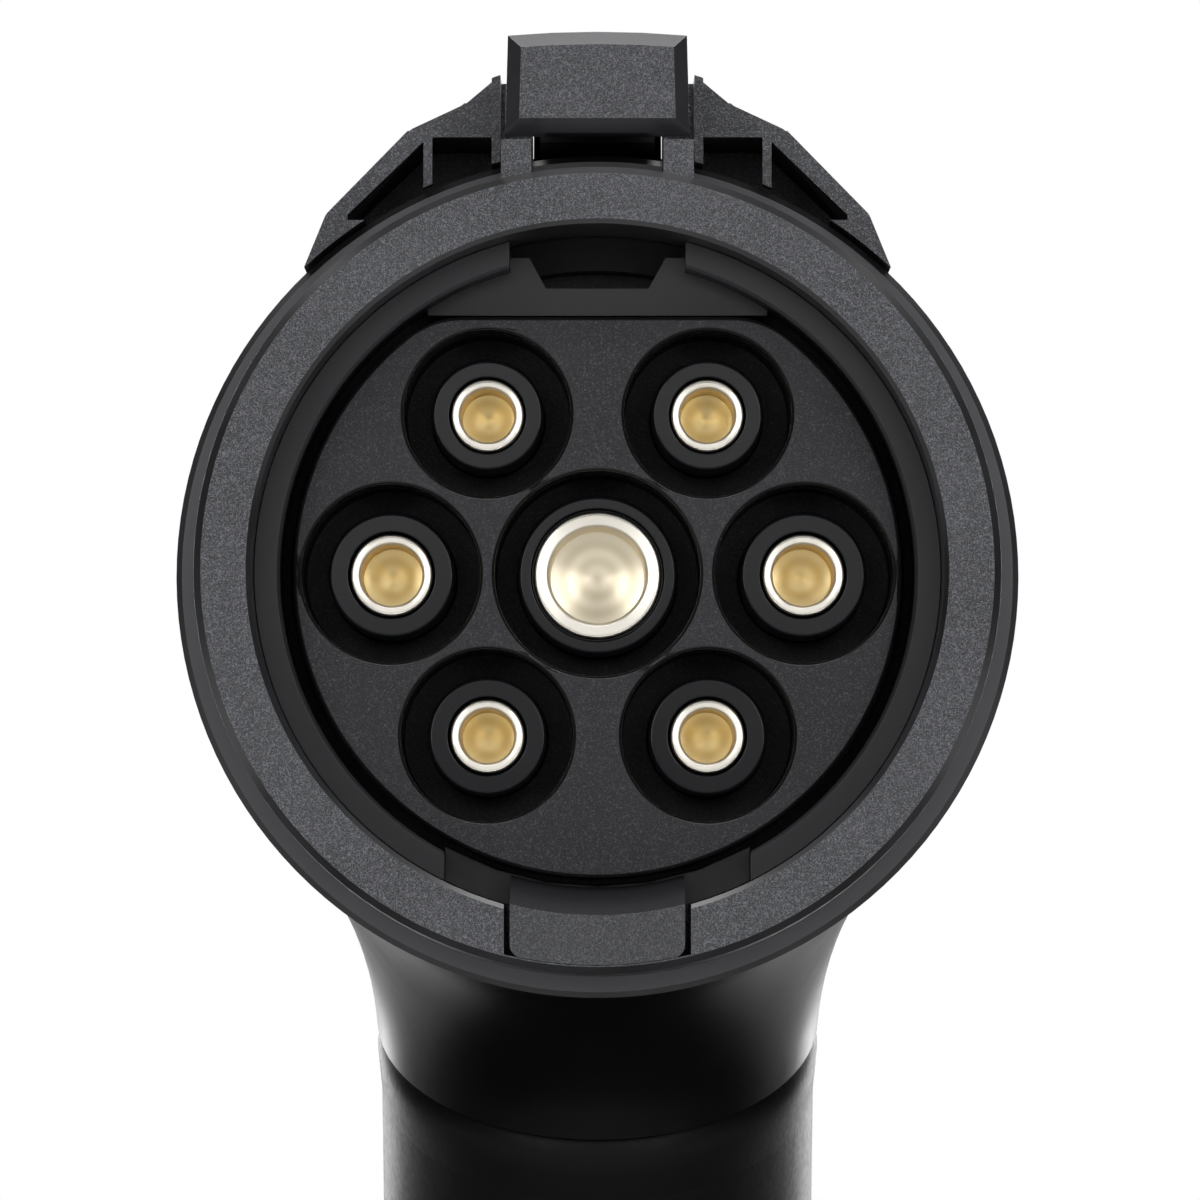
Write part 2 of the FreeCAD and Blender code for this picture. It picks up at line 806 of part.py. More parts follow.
def joined(label, parts):
    item = doc.addObject("Part::MultiFuse", label)
    item.Shapes = parts
    return item


def minus(label, base, tool):
    item = doc.addObject("Part::Cut", label)
    item.Base = base
    item.Tool = tool
    item.Label = label
    item.Refine = False
    return item


def handle_body(label):
    """A body whose Z runs down the handle and whose Y points to the swing centre, from the seam centre."""
    body = new_body(label)
    body.setExpression("Placement", cell(
        "placement(vector(0; swing_back + %s * sin(swing_end); swing_down + %s * cos(swing_end));"
        " rotation(vector(1; 0; 0); -(90 + swing_end)))" % (MIDDLE, MIDDLE)))
    return body


LIP = [
    ("grip_start", "grip_depth_start", "grip_half_start"),
    ("grip_lip - 1.1", "grip_depth_lip - 0.25", "grip_half_lip - 0.25"),
    ("grip_lip", "grip_depth_lip", "grip_half_lip"),
    ("grip_lip + 1.4", "grip_depth_lip - 0.1", "grip_half_lip - 0.1"),
    ("grip_shoulder", "grip_depth_shoulder", "grip_half_shoulder"),
]
GRIP = [
    ("grip_shoulder - 0.5", "grip_depth_shoulder", "grip_half_shoulder"),
    ("grip_middle", "grip_depth_middle", "grip_half_middle"),
    ("grip_end", "grip_depth_end", "grip_half_end"),
]
CORE = [
    ("-4", "grip_depth_shoulder", "grip_half_shoulder"),
    ("grip_middle", "grip_depth_middle", "grip_half_middle"),
    ("tail_start + 4.6", "grip_depth_end", "grip_half_end"),
]
TAIL = [
    ("tail_start", "tail_depth_start", "tail_half_start"),
    ("tail_middle", "tail_depth_middle", "tail_half_middle"),
    ("tail_end", "tail_depth_end", "tail_half_end"),
]
HOLLOW = [
    ("tail_start + 3.1", "tail_depth_start", "tail_half_start"),
    ("tail_wall_start", "tail_depth_middle", "tail_half_middle"),
]
elbow_outer = elbow("elbow_outer", "0", "0")
elbow_inner = elbow("elbow_inner", "-wall", "-wall - grip_wall")
elbow_clear = elbow("elbow_clear", "fit_gap", "fit_gap")
core_outer = straight("core_outer", CORE, "-grip_wall - slip_gap")
core_inner = straight("core_inner", CORE, "-grip_wall - slip_gap - wall")
tail_outer = straight("tail_outer", TAIL, "0")
tail_inner = straight("tail_inner", HOLLOW, "-wall")
grip_lip = straight("grip_lip", LIP, "0")
grip_lip.Ruled = True
grip_outer = joined("grip_outer", [grip_lip, straight("grip_main", GRIP, "0")])
grip = minus("grip_sleeve", grip_outer, straight("grip_inner", CORE, "-grip_wall"))


def swing_body(label, swing):
    """A body whose Z points out of the swing centre at an angle and whose Y runs down the housing."""
    body = new_body(label)
    body.AllowCompound = True
    body.setExpression("Placement", cell(
        "placement(vector(0; swing_back; swing_down); rotation(vector(1; 0; 0); -(%s)))" % swing))
    return body


def turned_down(body, points):
    """Revolve a half outline, given as radius and distance along Z, about Z."""
    sketch = new_sketch(body, "YZ_Plane")
    polygon(sketch, points)
    item = body.newObject("PartDesign::Revolution", "turned")
    item.Profile = sketch
    item.ReferenceAxis = (sketch, ["V_Axis"])
    item.Angle = 360
    return item


# tools that shape the two housing shells
spine = []
for number, (middle, depth, half) in enumerate(ELBOW):
    swing = "(swing_end * %s)" % (number / 4)
    spine.append(("swing_back + %s * sin(%s)" % (middle, swing), "swing_down + %s * cos(%s)" % (middle, swing)))
last_across, last_upward = spine[-1]
spine.append(("%s + 120 * cos(swing_end)" % last_across, "%s - 120 * sin(swing_end)" % last_upward))
above_spine = new_body("above_spine")
side_pad(above_spine, "60", [("0", "0")] + spine + [("170", "-100"), ("170", "60"), ("0", "60")])
below_spine = new_body("below_spine")
side_pad(below_spine, "60", [("0", "0")] + spine + [("90", "-180"), ("0", "-180")])

lip = new_body("lip_ring")
lip_radius = GROOVE + " + 5 * fit_gap"
turned(lip, [("lip_front", lip_radius), ("lip_front", lip_radius + " + lip_height"),
             ("lip_back", lip_radius + " + lip_height"), ("lip_back", lip_radius)])
elbow_spots = [("elbow_screw_side", "0"), ("-elbow_screw_side", "0")]
tail_spots = [("tail_screw_side", "tail_screw_at"), ("-tail_screw_side", "tail_screw_at")]
elbow_bosses = swing_body("elbow_bosses", "elbow_screw_swing")
plan_pad(elbow_bosses, "elbow_boss_foot", "elbow_screw_head + 6",
         circles=[(x, y, "housing_boss_radius") for x, y in elbow_spots])
guard_spots = [("guard_screw_side", "guard_screw_back"), ("-guard_screw_side", "guard_screw_back")]
guard_bosses = new_body("guard_bosses")
guard_bosses.AllowCompound = True
plan_pad(guard_bosses, "guard_screw_seat", "guard_screw_seat + 8",
         circles=[(x, y, "housing_boss_radius") for x, y in guard_spots])
saddle = handle_body("saddle")
plan_pad(saddle, "clamp_at", "clamp_at + clamp_length", outlines=[mirrored([
    ("clamp_half_width", "-cable_radius / 2"),
    ("clamp_half_width", "saddle_shoulder"),
    ("saddle_half_floor", "saddle_depth"),
])])

elbow_holes = swing_body("elbow_holes", "elbow_screw_swing")
plan_pad(elbow_holes, "elbow_screw_tip - seam_gap", "elbow_screw_head + 1",
         circles=[(x, y, "housing_screw_radius + fit_gap") for x, y in elbow_spots])
plan_pad(elbow_holes, "elbow_screw_head", "elbow_screw_head + 20",
         circles=[(x, y, "housing_head_radius + seam_gap") for x, y in elbow_spots])
tail_holes = swing_body("tail_holes", "swing_end")
plan_pad(tail_holes, MIDDLE + " - tail_screw_tip - seam_gap",
         MIDDLE + " + tail_screw_head + 1",
         circles=[(x, y, "housing_screw_radius + fit_gap") for x, y in tail_spots])
plan_pad(tail_holes, MIDDLE + " + tail_screw_head", MIDDLE + " + tail_screw_head + 20",
         circles=[(x, y, "housing_head_radius + seam_gap") for x, y in tail_spots])
guard_holes = new_body("guard_holes")
guard_holes.AllowCompound = True
plan_pad(guard_holes, "guard_screw_seat - 1", "guard_screw_seat + guard_screw_reach + seam_gap",
         circles=[(x, y, "clamp_screw_radius + fit_gap") for x, y in guard_spots])
gland_way = handle_body("gland_way")
plan_pad(gland_way, "tail_wall_start - 1", "tail_end + 1", circles=[("0", "0", "gland_hole_radius")])
cable_way = handle_body("cable_way")
plan_pad(cable_way, "clamp_at - 1", "clamp_at + clamp_length + 1", circles=[("0", "0", "cable_radius + seam_gap")])
clamp_holes = handle_body("clamp_holes")
clamp_holes.AllowCompound = True
clamp_spots = [("clamp_screw_side", "clamp_at + clamp_length / 2"),
               ("-clamp_screw_side", "clamp_at + clamp_length / 2")]
face_pad(clamp_holes, "-cable_radius - clamp_bar - 2", "clamp_screw_depth + seam_gap",
         circles=[(x, z, "clamp_screw_radius + fit_gap") for x, z in clamp_spots])
lever_slot = new_body("lever_slot")
plan_pad(lever_slot, "10", "40", outlines=[
    box_points("-guard_inner_half", "lever_slot_front", "guard_inner_half", "lever_slot_back")])


def button_body(label):
    """A body standing square on the rear surface, Z outwards, Y down the slope."""
    body = new_body(label)
    body.setExpression("Placement", cell(
        "placement(vector(0; button_back; button_up); rotation(vector(1; 0; 0); -button_tilt))"))
    return body


def rounded_pad(body, low, high, half, reach, corner):
    item = plan_pad(body, low, high, outlines=[box_points("-(%s)" % half, "-(%s)" % reach, half, reach)])
    doc.recompute()
    return dress(body, "Fillet", item, lambda edge: edge.BoundBox.XLength < 0.001
                 and edge.BoundBox.YLength < 0.001, corner)


button_hole = button_body("button_hole")
rounded_pad(button_hole, "-12", "12", "button_half_width + seam_gap", "button_half_length + seam_gap",
            "button_corner + seam_gap")

outside = joined("outside", [elbow_outer, core_outer, tail_outer])
inside = joined("inside", [elbow_inner, core_inner, tail_inner])
hull = minus("hull", outside, inside)
added = joined("added", [hull, lip, elbow_bosses, guard_bosses])
bounded = doc.addObject("Part::MultiCommon", "bounded")
bounded.Shapes = [added, outside]
upper = minus("upper_half", bounded, below_spine)
for tool in (lever_slot, button_hole, elbow_holes, tail_holes, guard_holes):
    upper = minus("upper_with_" + tool.Label, upper, tool)
upper = minus("upper_shell", upper, gland_way)
lower_half = minus("lower_half", bounded, joined("lower_removed", [above_spine, elbow_holes, tail_holes, gland_way]))
saddle_cut = minus("saddle_cut", saddle, joined("saddle_removed", [cable_way, clamp_holes]))
lower = joined("lower_shell", [lower_half, saddle_cut])

# screws of the housing, of the clamp and of the guard
housing_screws = swing_body("elbow_screws", "elbow_screw_swing")
plan_pad(housing_screws, "elbow_screw_tip", "elbow_screw_head",
         circles=[(x, y, "housing_screw_radius") for x, y in elbow_spots])
plan_pad(housing_screws, "elbow_screw_head", "elbow_screw_head + housing_head_height",
         circles=[(x, y, "housing_head_radius") for x, y in elbow_spots])
plan_cut(housing_screws, "elbow_screw_head + housing_head_height * 0.5", "elbow_screw_head + housing_head_height",
         outlines=[driver_slot(x, y, "housing_head_radius") for x, y in elbow_spots])
tail_screws = swing_body("tail_screws", "swing_end")
plan_pad(tail_screws, MIDDLE + " - tail_screw_tip", MIDDLE + " + tail_screw_head",
         circles=[(x, y, "housing_screw_radius") for x, y in tail_spots])
plan_pad(tail_screws, MIDDLE + " + tail_screw_head",
         MIDDLE + " + tail_screw_head + housing_head_height",
         circles=[(x, y, "housing_head_radius") for x, y in tail_spots])
plan_cut(tail_screws, MIDDLE + " + tail_screw_head + housing_head_height * 0.5",
         MIDDLE + " + tail_screw_head + housing_head_height",
         outlines=[driver_slot(x, y, "housing_head_radius") for x, y in tail_spots])
clamp_screws = handle_body("clamp_screws")
clamp_screws.AllowCompound = True
face_pad(clamp_screws, "-cable_radius - clamp_bar - seam_gap", "clamp_screw_depth",
         circles=[(x, z, "clamp_screw_radius") for x, z in clamp_spots])
face_pad(clamp_screws, "-cable_radius - clamp_bar - seam_gap - clamp_head_height",
         "-cable_radius - clamp_bar - seam_gap", circles=[(x, z, "clamp_head_radius") for x, z in clamp_spots])
guard_screws = new_body("guard_screws")
guard_screws.AllowCompound = True
plan_pad(guard_screws, "guard_screw_seat", "guard_screw_seat + guard_screw_reach",
         circles=[(x, y, "clamp_screw_radius") for x, y in guard_spots])
plan_pad(guard_screws, "guard_screw_seat - clamp_head_height", "guard_screw_seat",
         circles=[(x, y, "clamp_head_radius") for x, y in guard_spots])

# cable clamp bar, gland, nut and rubber seal
clamp = handle_body("cable_clamp")
plan_pad(clamp, "clamp_at", "clamp_at + clamp_length", outlines=[
    box_points("-clamp_half_width", "-cable_radius - seam_gap - clamp_bar", "clamp_half_width",
               "-cable_radius / 2 - seam_gap")])
plan_cut(clamp, "clamp_at", "clamp_at + clamp_length", circles=[("0", "0", "cable_radius + seam_gap")])
face_cut(clamp, "-cable_radius - 2 * clamp_bar", "0",
         circles=[(x, z, "clamp_screw_radius + fit_gap") for x, z in clamp_spots])
gland = handle_body("cable_gland")
turned_down(gland, [
    ("cable_radius + seam_gap", "gland_collar_front"),
    ("gland_collar_radius", "gland_collar_front"),
    ("gland_collar_radius", "tail_wall_start"),
    ("gland_body_radius", "tail_wall_start"),
    ("gland_body_radius", "gland_thread_end"),
    ("seal_radius + fit_gap", "gland_thread_end"),
    ("seal_radius + fit_gap", "seal_start"),
    ("cable_radius + seam_gap", "seal_start"),
])
gland_seal = handle_body("gland_seal")
turned_down(gland_seal, [
    ("cable_radius", "seal_start + fit_gap"),
    ("seal_radius", "seal_start + fit_gap"),
    ("seal_radius", "seal_end"),
    ("cable_radius", "seal_end"),
])
nut = handle_body("gland_nut")
turned_down(nut, [
    ("gland_body_radius + fit_gap", "nut_start"),
    ("nut_radius - 0.5", "nut_start"),
    ("nut_radius", "nut_start + 0.6"),
    ("nut_radius", "nut_start + 7"),
    ("nut_nose_radius + 0.6", "nut_end - 0.5"),
    ("nut_nose_radius", "nut_end"),
    ("cable_radius + 2 * seam_gap", "nut_end"),
    ("cable_radius + 2 * seam_gap", "seal_end + fit_gap"),
    ("seal_radius + fit_gap", "seal_end + fit_gap"),
    ("seal_radius + fit_gap", "gland_thread_end + fit_gap"),
    ("gland_body_radius + fit_gap", "gland_thread_end + fit_gap"),
])
plan_cut(nut, "nut_start + 1.2", "nut_end", circles=[
    ("(nut_radius + nut_rib_radius * 0.3) * cos(%d)" % turn, "(nut_radius + nut_rib_radius * 0.3) * sin(%d)" % turn,
     "nut_rib_radius") for turn in range(0, 360, 30)])

# latch lever with its hook at the front and its pad at the back
lever = new_body("latch_lever")
block = face_pad(lever, "hook_front", "hook_back", outlines=[mirrored([
    ("0", "hook_top"),
    ("hook_half_top * 0.5", "hook_top - hook_arch * 0.25"),
    ("hook_half_top", "hook_top - hook_arch"),
    ("hook_half_low", "hook_bottom"),
])[:-1]])
bevelled = dress(lever, "Chamfer", block, lambda edge: at_front(edge, SIZES["hook_front"]), "hook_bevel")
dress(lever, "Chamfer", bevelled, lambda edge: at_front(edge, SIZES["hook_back"])
      and edge.BoundBox.ZMin > SIZES["hook_top"] - 0.5, "hook_break")
side_cut(lever, "hook_half_low + 1", box_points("nose_back", "hook_bottom - 1", "hook_back + 1", "hook_catch"))


def under_button(reach, gap):
    """A point a little below the button's underside, this far up its slope."""
    return ("button_back + (button_bottom - %s) * sin(button_tilt) - %s * cos(button_tilt)" % (gap, reach),
            "button_up + (button_bottom - %s) * cos(button_tilt) + %s * sin(button_tilt)" % (gap, reach))


side_pad(lever, "lever_half_width", [
    ("hook_front + 3", "hook_catch"),
    ("hook_front + 3", "arm_top"),
    ("hook_back + slip_gap", "arm_top"),
    ("arm_step_front - 4", "pivot_up + arm_rise + 0.8"),
    ("arm_step_front", "pivot_up + arm_rise"),
    ("arm_step_back", "pivot_up + hub_rise"),
    ("pivot_back + 1", "pivot_up + hub_rise"),
    ("pivot_back + hub_back", "pivot_up + 0.6"),
    ("knee_back", "knee_up"),
    under_button("button_tab_reach", "pad_relief"),
    under_button("pad_half", "pad_gap"),
    under_button("(-pad_half)", "pad_gap"),
    ("toe_back", "shin_up - 1"),
    ("toe_back", "foot_bottom"),
    ("toe_front", "foot_bottom"),
    ("shin_back", "shin_up"),
    ("heel_back", "heel_up"),
    ("flat_back", "plunger_top + slip_gap"),
    ("flat_front", "plunger_top + slip_gap"),
    ("shank_front", "pivot_up - 3.3"),
    ("pivot_back - 3", "pivot_up - 1.8"),
    ("pivot_back - hub_front", "pivot_up + 0.6"),
    ("hook_back + 3.3", "arm_underside"),
    ("hook_back + 1.1", "hook_catch"),
])
hub_outline = new_sketch(lever, "YZ_Plane", "-hub_half")
circle(hub_outline, "pivot_back", "pivot_up", "hub_radius")
pad(lever, hub_outline, "2 * hub_half")
pin_hole = new_sketch(lever, "YZ_Plane", "hub_half")
circle(pin_hole, "pivot_back", "pivot_up", "pin_radius + fit_gap")
pocket(lever, pin_hole, "2 * hub_half")
pin = new_body("latch_pin")
pin_outline = new_sketch(pin, "YZ_Plane", "-pin_half_length")
circle(pin_outline, "pivot_back", "pivot_up", "pin_radius")
pad(pin, pin_outline, "2 * pin_half_length")

# guard over the lever
guard_body = new_body("guard_form")
hood = face_pad(guard_body, "guard_front", "guard_back", outlines=[mirrored([
    ("guard_channel_half", "guard_top"),
    ("guard_shoulder_side", "guard_shoulder_up"),
    ("guard_waist_side", "guard_waist_up"),
    ("guard_eave_side", "guard_eave_up"),
    ("guard_hip_side", "guard_hip_up"),
    ("guard_end_side", "guard_end_up"),
    ("guard_inside_side", "guard_inside_up"),
])])
rounded = ["guard_waist", "guard_eave", "guard_hip"]
dress(guard_body, "Fillet", hood, lambda edge: edge.BoundBox.YLength > 20 and any(
    abs(abs(edge.BoundBox.XMin) - SIZES[corner + "_side"]) < 0.01
    and abs(edge.BoundBox.ZMin - SIZES[corner + "_up"]) < 0.01 for corner in rounded), "guard_corner")
side_cut(guard_body, "guard_flank_side + 5", [
    ("guard_crest_back + guard_round * sin(%d)" % turn, "guard_top + guard_round * (cos(%d) - 1)" % turn)
    for turn in (0, 18, 36, 54, 72, 90)] + [
    ("guard_crest_back + guard_round", "0"),
    ("guard_back + 5", "0"),
    ("guard_back + 5", "guard_top + 5"),
    ("guard_crest_back", "guard_top + 5"),
])
for side in ("", "-"):
    plan_cut(guard_body, "guard_inside_up - 10", "guard_top + 5", outlines=[[
        (side + "guard_flank_side", "guard_flank_back"),
        (side + "guard_turn_side", "guard_turn_back"),
        (side + "guard_close_side", "guard_close_back"),
        (side + "guard_close_side", "guard_back + 5"),
        (side + "(guard_flank_side + 5)", "guard_back + 5"),
        (side + "(guard_flank_side + 5)", "guard_flank_back"),
    ]])
face_cut(guard_body, "guard_front", "guard_channel_back", outlines=[
    box_points("-guard_channel_half", "10", "guard_channel_half", "guard_top + 1")])
face_cut(guard_body, "guard_channel_back", "guard_back", outlines=[
    box_points("-guard_inner_half", "10", "guard_inner_half", "guard_roof")])
for side in ("", "-"):
    face_cut(guard_body, "guard_front", "guard_window_back", outlines=[[
        (side + "window_low_side", "window_low_up"),
        (side + "window_high_side", "window_high_up"),
        (side + "(window_high_side - 0.9)", "window_top"),
        (side + "guard_cheek_outer", "window_top"),
        (side + "guard_cheek_outer", "window_floor"),
        (side + "window_low_side", "window_floor"),
    ]])
    face_pad(guard_body, "guard_front", "guard_rib_back", outlines=[
        box_points(side + "guard_rib_inner", "20", side + "guard_rib_outer", "window_top + 0.1")])
for level, depth in (("guard_step_low", "guard_step_depth"), ("guard_step_high", "2 * guard_step_depth")):
    for side in ("", "-"):
        face_cut(guard_body, "guard_front", "guard_front + " + depth, outlines=[
            box_points(side + "guard_cheek_outer", level, side + "25", "guard_top + 1")])
clear = new_body("guard_clearance")
face_pad(clear, "face_plane", "joint_plane + seam_gap", circles=[("0", "0", FLANGE + " + seam_gap")])
guard_pin_hole = new_body("guard_pin_hole")
pin_way = new_sketch(guard_pin_hole, "YZ_Plane", "-pin_half_length - fit_gap")
circle(pin_way, "pivot_back", "pivot_up", "pin_radius + 0.01")
pad(guard_pin_hole, pin_way, "2 * (pin_half_length + fit_gap)")
guard_tools = joined("guard_tools", [clear, elbow_clear, guard_pin_hole, guard_holes])
guard = minus("latch_guard", guard_body, guard_tools)

# coil spring under the lever's pad
spring = new_body("latch_spring")
place(spring, y="spring_back", z="bracket_floor + spring_wire_radius")
wire = new_sketch(spring, "XZ_Plane")
circle(wire, "spring_coil_radius", "0", "spring_wire_radius")
coil = spring.newObject("PartDesign::AdditiveHelix", "coil")
coil.Profile = wire
coil.ReferenceAxis = (wire, ["V_Axis"])
coil.Mode = "height-turns-angle"
coil.setExpression("Height", cell("foot_bottom - bracket_floor - 2 * spring_wire_radius - fit_gap"))
coil.setExpression("Turns", cell("spring_turns"))

# release button
button = button_body("release_button")
rounded_pad(button, "button_bottom", "button_top", "button_half_width", "button_half_length", "button_corner")
dress(button, "Fillet", button.Tip, lambda edge: all(
    abs(vertex.Point.z - SIZES["button_top"]) < 0.001 for vertex in edge.Vertexes), "button_rim")
plan_pad(button, "button_bottom", "button_tab_top", outlines=[
    box_points("-button_tab_half", "-button_tab_reach", "button_tab_half", "button_tab_reach")])
for step in (-1.5, -0.5, 0.5, 1.5):
    line = "button_ridge_pitch * %s" % step
    plan_pad(button, "button_top - button_ridge", "button_top + button_ridge", outlines=[
        box_points("-button_half_width + button_ridge_inset", line + " - button_ridge_half",
                   "button_half_width - button_ridge_inset", line + " + button_ridge_half")])

# microswitch, its plunger and the small board under it
switch = new_body("latch_switch")
plan_pad(switch, "bracket_top", "switch_top", outlines=[
    box_points("-switch_half_width", "switch_front", "switch_half_width", "switch_back")])
plan_cut(switch, "plunger_foot - slip_gap", "switch_top", circles=[("0", "plunger_back", "plunger_radius + fit_gap")])
plunger = new_body("switch_plunger")
plan_pad(plunger, "plunger_foot + 1", "plunger_top", circles=[("0", "plunger_back", "plunger_radius")])
board = new_body("resistor_board")
plan_pad(board, "board_top - board_sheet", "board_top", outlines=[
    box_points("-board_half_width - 0.1", "board_front", "board_half_width + 0.1", "board_back")])
chips = new_body("board_resistors")
chips.AllowCompound = True
plan_pad(chips, "board_top - board_sheet - chip_height", "board_top - board_sheet", outlines=[
    box_points("-chip_side - chip_half_width", "chip_front", "-chip_side + chip_half_width",
               "chip_front + chip_length"),
    box_points("chip_side - chip_half_width", "chip_front", "chip_side + chip_half_width",
               "chip_front + chip_length"),
    box_points("-chip_length / 2", "chip_front + chip_length + chip_half_width", "chip_length / 2",
               "chip_front + chip_length + 2.2 * chip_half_width")])

doc.recompute()
NODES = [name + end for name in FAMILIES for end in ("_tower", "_contact")] + [
    "front_shroud", "key_block", "guide_sleeve", "face_seal", "contact_core", "contact_plate", "plate_screws",
    "housing_gasket", "grip_sleeve", "upper_shell", "lower_shell", "elbow_screws", "tail_screws", "clamp_screws",
    "guard_screws", "cable_clamp", "cable_gland", "gland_seal", "gland_nut", "latch_lever", "latch_pin",
    "latch_guard", "latch_spring", "release_button", "latch_switch", "switch_plunger", "resistor_board",
    "board_resistors"]
faults = [item.Label for item in doc.Objects if "Invalid" in item.State or "Error" in item.State]
shapes = {label: doc.getObjectsByLabel(label)[0].Shape for label in NODES}
for label, shape in shapes.items():
    if shape.isNull() or not shape.isValid() or not shape.Solids:
        faults.append(label)
    else:
        box = shape.BoundBox
        print("%-18s %d solids %9.1f mm3  x %.1f %.1f  y %.1f %.1f  z %.1f %.1f" % (
            label, len(shape.Solids), shape.Volume, box.XMin, box.XMax, box.YMin, box.YMax, box.ZMin, box.ZMax))
if faults:
    raise RuntimeError("faulty objects: " + ", ".join(faults))
for label, shape in shapes.items():
    shape.exportStep("parts/%s.step" % label)
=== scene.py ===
# %% [markdown]
# # A hand-held charging connector
# The connector is a round shroud full of socket contacts on a sloping handle. Its solids come from the
# frame, in metres, and this script gives them their finishes, their softened edges and the light.

# %% Load the frame
import math

import bpy
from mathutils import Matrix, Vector


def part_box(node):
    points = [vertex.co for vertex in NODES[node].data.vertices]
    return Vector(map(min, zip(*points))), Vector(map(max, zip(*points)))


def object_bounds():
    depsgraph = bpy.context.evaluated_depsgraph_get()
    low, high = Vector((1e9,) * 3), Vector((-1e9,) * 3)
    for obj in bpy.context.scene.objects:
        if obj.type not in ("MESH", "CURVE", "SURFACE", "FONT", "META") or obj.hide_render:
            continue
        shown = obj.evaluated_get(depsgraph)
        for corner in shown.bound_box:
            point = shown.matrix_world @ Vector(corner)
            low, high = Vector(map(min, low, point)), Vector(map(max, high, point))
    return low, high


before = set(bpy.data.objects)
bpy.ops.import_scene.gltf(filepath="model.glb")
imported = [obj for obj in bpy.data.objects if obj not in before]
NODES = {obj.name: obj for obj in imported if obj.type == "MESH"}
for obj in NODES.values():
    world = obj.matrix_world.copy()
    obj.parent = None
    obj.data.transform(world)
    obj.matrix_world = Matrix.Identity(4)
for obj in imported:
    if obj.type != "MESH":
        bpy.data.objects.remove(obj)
CAD_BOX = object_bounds()
MM = 0.001
print("pieces in the frame:", len(NODES))

# %% [markdown]
# ## Colours and nodes
# Colours are written as the hex values that a paint chart or a picture would show. Blender's shaders work
# with linear light, so one function does that change for every colour. A second one adds a node, sets its
# values and links its inputs, which keeps each material below as short as its recipe.

# %% Two helpers for materials
def linear(code):
    """A hex colour as linear red, green, blue and alpha."""
    parts = [int(code[i:i + 2], 16) / 255 for i in (1, 3, 5)]
    return [c / 12.92 if c <= 0.04045 else ((c + 0.055) / 1.055) ** 2.4 for c in parts] + [1.0]


def add_node(tree, kind, inputs=None, **settings):
    """Add a node; a socket given as an input is linked, any other value is set."""
    node = tree.nodes.new(kind)
    for name, value in settings.items():
        setattr(node, name, value)
    for name, value in (inputs or {}).items():
        if isinstance(value, bpy.types.NodeSocket):
            tree.links.new(value, node.inputs[name])
        else:
            node.inputs[name].default_value = value
    return node


def new_material(name, **values):
    """A material with its shader's plain values set, and its object coordinates."""
    material = bpy.data.materials.new(name)
    material.use_nodes = True
    tree = material.node_tree
    shader = tree.nodes["Principled BSDF"]
    for socket, value in values.items():
        shader.inputs[socket.replace("_", " ")].default_value = value
    place = add_node(tree, "ShaderNodeTexCoord").outputs["Object"]
    return material, tree, shader, place


def plain_material(name, colour, rough):
    """One colour and one roughness, for what stands around the part."""
    material, _, shader, _ = new_material(name, Roughness=rough)
    shader.inputs["Base Color"].default_value = linear(colour)
    return material


def mixed(tree, factor, low, high):
    """The colour between two others, each of them a colour value or a socket."""
    node = add_node(tree, "ShaderNodeMix", {0: factor}, data_type="RGBA")
    for number, value in ((6, low), (7, high)):
        if isinstance(value, bpy.types.NodeSocket):
            tree.links.new(value, node.inputs[number])
        else:
            node.inputs[number].default_value = value
    return node.outputs[2]


def per_mm(size):
    """The texture scale that makes a pattern's cells this many millimetres wide."""
    return 1.0 / (size * MM)


print("linear value of mid grey:", [round(c, 3) for c in linear("#808080")])

# %% [markdown]
# ## Glass-filled nylon with a moulded grain
# The shroud, the key, the guard and the lever are moulded in charcoal nylon. The mould's flat faces were
# eroded by sparks, which leaves a fine worm-like grain, while its chamfers and side walls stay smooth so that
# the part slides out. The grain is the thin band where a noise passes its middle value: such a band winds
# about like the real ridges. The ridges are glossier and higher than the ground between them, and they are
# painted paler: a painted highlight for the glints that they catch. The surface's own direction says where
# the grain ends and gives the faces that don't look forward a colour of their own. On the shroud's chamfers
# and walls and in the core's wells that colour is painted darker, a painted shade, and the shroud's forward
# faces behind the grain are painted lighter, as painted light. Side walls lose their shine away from the
# mating face, because only the part of the mould around the face is polished.

# %% Grained nylon
GRAIN_MM = 0.20
GRAIN_DEPTH_MM = 0.035
WORM_HALF_WIDTH = 0.075
SIDE_NORMAL = -0.93
FRONT_NORMAL = -0.985
DUST_PATCH_MM = 9.0
DUST_SHARE = 0.12
GROUND_ROUGH = 0.5
RIDGE_ROUGH = 0.34
DULL_ROUGH = 0.7
POLISHED_TO_MM = 1.0
DULL_FROM_MM = 4.0


